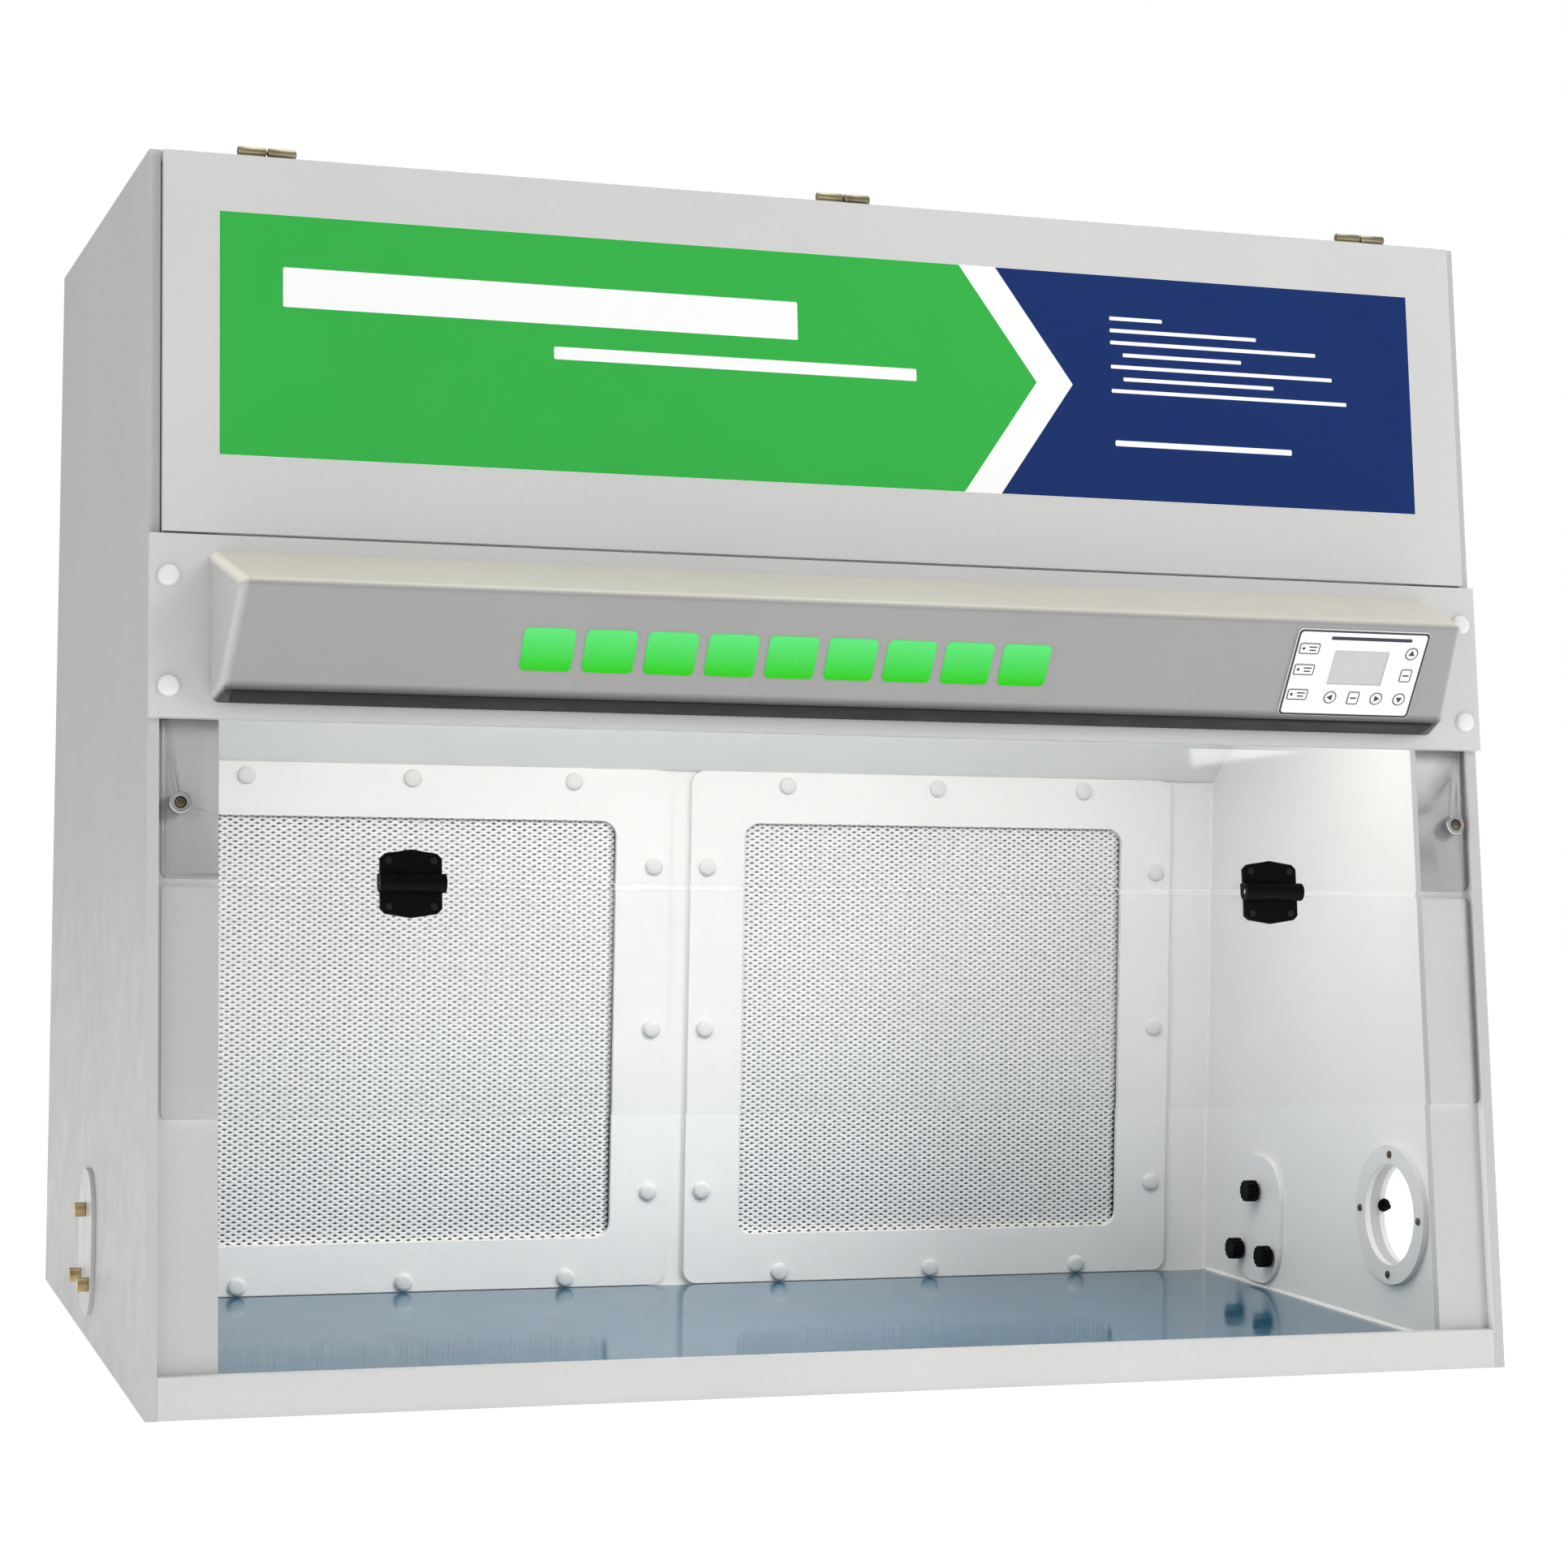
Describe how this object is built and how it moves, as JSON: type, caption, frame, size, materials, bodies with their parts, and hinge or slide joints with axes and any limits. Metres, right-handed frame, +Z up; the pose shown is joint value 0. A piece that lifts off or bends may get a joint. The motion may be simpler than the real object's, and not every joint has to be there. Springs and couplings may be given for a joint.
{
  "type": "fume hood",
  "caption": "Ductless filtered bench fume hood with a leaning front, hinged head door, lit canopy with control panel, clear folding sash and rear prefilters.",
  "frame": {"origin": "centre of the bounding box, on the flat underside that rests on the bench", "axes": "+X along the width towards the user's right, +Y from the front to the back, +Z up"},
  "size_m": [1.247, 0.8486, 1.042],
  "materials": {
    "cabinet_sheet": "welded polypropylene sheet, light grey-white, fine orange-peel satin",
    "inner_sheet": "white sheet lining, smooth satin",
    "worktop_blue": "glossy steel-blue chemical-resistant surface",
    "clear_acrylic": "clear polished acrylic sheet",
    "white_plastic": "moulded white plastic, low gloss",
    "white_mesh": "expanded sheet, white powder coat",
    "filter_media": "pleated non-woven filter paper in a card frame",
    "carbon_cassette": "carbon bed in a card cassette with mesh faces",
    "canopy_shell": "vacuum-formed shell, satin gloss",
    "smoked_lens": "dark smoked translucent strip",
    "green_light": "back-lit green diffuser",
    "label_film": "printed white membrane film with a dark border",
    "key_plastic": "embossed membrane keys with a dark outline",
    "display_glass": "grey liquid-crystal display",
    "circuit_board": "solder-masked board",
    "black_plastic": "black glass-filled nylon",
    "brass": "plain brass, lightly dulled",
    "steel": "stainless steel",
    "dark_screw": "dark brass screw with washer",
    "decal_film": "printed vinyl film: green field and navy field",
    "motor_grey": "cast motor housing",
    "wheel_steel": "galvanised sheet impeller"
  },
  "bodies": {
    "cabinet": {"base_panel": "cabinet_sheet", "worktop": "worktop_blue", "front_sill": "cabinet_sheet", "left_wall": "cabinet_sheet", "right_wall": "cabinet_sheet", "back_panel": "cabinet_sheet", "top_panel": "cabinet_sheet", "front_frame": "cabinet_sheet", "chamber_ceiling": "inner_sheet", "rear_baffle": "inner_sheet", "filter_frames": "inner_sheet", "filter_grilles": "white_mesh", "prefilters": "filter_media", "cap_screws": "white_plastic", "fascia": "cabinet_sheet", "canopy": "canopy_shell", "canopy_lens": "smoked_lens", "light_segments": "green_light", "controller_panel": "label_film", "controller_display": "display_glass", "controller_board": "circuit_board", "upper_pane": "clear_acrylic", "sash_screws": "dark_screw", "sash_hinge_tops": "black_plastic", "sash_hinge_pins": "steel", "door_hinge_tops": "brass", "door_hinge_pins": "brass", "filter_shelf": "inner_sheet", "main_filters": "carbon_cassette", "fan_deck": "inner_sheet", "blower_motors": "motor_grey", "exhaust_grilles": "white_plastic", "power_inlet": "black_plastic", "chamber_light": "white_plastic", "port_rings": "white_plastic", "service_plates": "white_plastic", "service_valves": "brass"},
    "head_door": {"head_door": "cabinet_sheet", "door_decal": "decal_film", "door_hinge_flaps": "brass"},
    "sash_flap": {"lower_pane": "clear_acrylic", "sash_hinge_flaps": "black_plastic", "flap_screws": "dark_screw"},
    "blower_wheel_left": {"impeller_left": "wheel_steel"},
    "blower_wheel_right": {"impeller_right": "wheel_steel"},
    "knob_left_top": {"knob_left_top": "black_plastic"},
    "knob_left_front": {"knob_left_front": "black_plastic"},
    "knob_left_rear": {"knob_left_rear": "black_plastic"},
    "knob_right_top": {"knob_right_top": "black_plastic"},
    "knob_right_front": {"knob_right_front": "black_plastic"},
    "knob_right_rear": {"knob_right_rear": "black_plastic"},
    "key_menu": {"key_menu": "key_plastic"},
    "key_mode": {"key_mode": "key_plastic"},
    "key_mute": {"key_mute": "key_plastic"},
    "key_up": {"key_up": "key_plastic"},
    "key_enter": {"key_enter": "key_plastic"},
    "key_down": {"key_down": "key_plastic"},
    "key_left": {"key_left": "key_plastic"},
    "key_fan": {"key_fan": "key_plastic"},
    "key_right": {"key_right": "key_plastic"}
  },
  "joints": [
    {"name": "head_door_hinge", "type": "hinge", "parent": "cabinet", "child": "head_door", "pos_m": [0, -0.27962, 1.038], "axis": [-1, 0, 0], "range_deg": [0, 110]},
    {"name": "sash_flap_hinge", "type": "hinge", "parent": "cabinet", "child": "sash_flap", "pos_m": [0, -0.35804, 0.4276], "axis": [-1, 0, 0], "range_deg": [0, 150]},
    {"name": "knob_left_top_turn", "type": "hinge", "parent": "cabinet", "child": "knob_left_top", "pos_m": [-0.58, 0.01825, 0.119], "axis": [1, 0, 0], "range_deg": [0, 270]},
    {"name": "knob_left_front_turn", "type": "hinge", "parent": "cabinet", "child": "knob_left_front", "pos_m": [-0.58, -0.01525, 0.055], "axis": [1, 0, 0], "range_deg": [0, 270]},
    {"name": "knob_left_rear_turn", "type": "hinge", "parent": "cabinet", "child": "knob_left_rear", "pos_m": [-0.58, 0.05175, 0.055], "axis": [1, 0, 0], "range_deg": [0, 270]},
    {"name": "knob_right_top_turn", "type": "hinge", "parent": "cabinet", "child": "knob_right_top", "pos_m": [0.58, 0.07325, 0.107], "axis": [-1, 0, 0], "range_deg": [0, 270]},
    {"name": "knob_right_front_turn", "type": "hinge", "parent": "cabinet", "child": "knob_right_front", "pos_m": [0.58, 0.03975, 0.043], "axis": [-1, 0, 0], "range_deg": [0, 270]},
    {"name": "knob_right_rear_turn", "type": "hinge", "parent": "cabinet", "child": "knob_right_rear", "pos_m": [0.58, 0.10675, 0.043], "axis": [-1, 0, 0], "range_deg": [0, 270]},
    {"name": "blower_left_spin", "type": "hinge", "parent": "cabinet", "child": "blower_wheel_left", "pos_m": [-0.3, 0.02525, 0.96], "axis": [0, 0, 1], "continuous": true},
    {"name": "blower_right_spin", "type": "hinge", "parent": "cabinet", "child": "blower_wheel_right", "pos_m": [0.3, 0.02525, 0.96], "axis": [0, 0, 1], "continuous": true},
    {"name": "key_menu_press", "type": "slide", "parent": "cabinet", "child": "key_menu", "axis": [0, 0.866, 0.5], "range_m": [0, 0.0005], "stiffness_N_per_m": 4000},
    {"name": "key_mode_press", "type": "slide", "parent": "cabinet", "child": "key_mode", "axis": [0, 0.866, 0.5], "range_m": [0, 0.0005], "stiffness_N_per_m": 4000},
    {"name": "key_mute_press", "type": "slide", "parent": "cabinet", "child": "key_mute", "axis": [0, 0.866, 0.5], "range_m": [0, 0.0005], "stiffness_N_per_m": 4000},
    {"name": "key_up_press", "type": "slide", "parent": "cabinet", "child": "key_up", "axis": [0, 0.866, 0.5], "range_m": [0, 0.0005], "stiffness_N_per_m": 4000},
    {"name": "key_enter_press", "type": "slide", "parent": "cabinet", "child": "key_enter", "axis": [0, 0.866, 0.5], "range_m": [0, 0.0005], "stiffness_N_per_m": 4000},
    {"name": "key_down_press", "type": "slide", "parent": "cabinet", "child": "key_down", "axis": [0, 0.866, 0.5], "range_m": [0, 0.0005], "stiffness_N_per_m": 4000},
    {"name": "key_left_press", "type": "slide", "parent": "cabinet", "child": "key_left", "axis": [0, 0.866, 0.5], "range_m": [0, 0.0005], "stiffness_N_per_m": 4000},
    {"name": "key_fan_press", "type": "slide", "parent": "cabinet", "child": "key_fan", "axis": [0, 0.866, 0.5], "range_m": [0, 0.0005], "stiffness_N_per_m": 4000},
    {"name": "key_right_press", "type": "slide", "parent": "cabinet", "child": "key_right", "axis": [0, 0.866, 0.5], "range_m": [0, 0.0005], "stiffness_N_per_m": 4000}
  ]
}
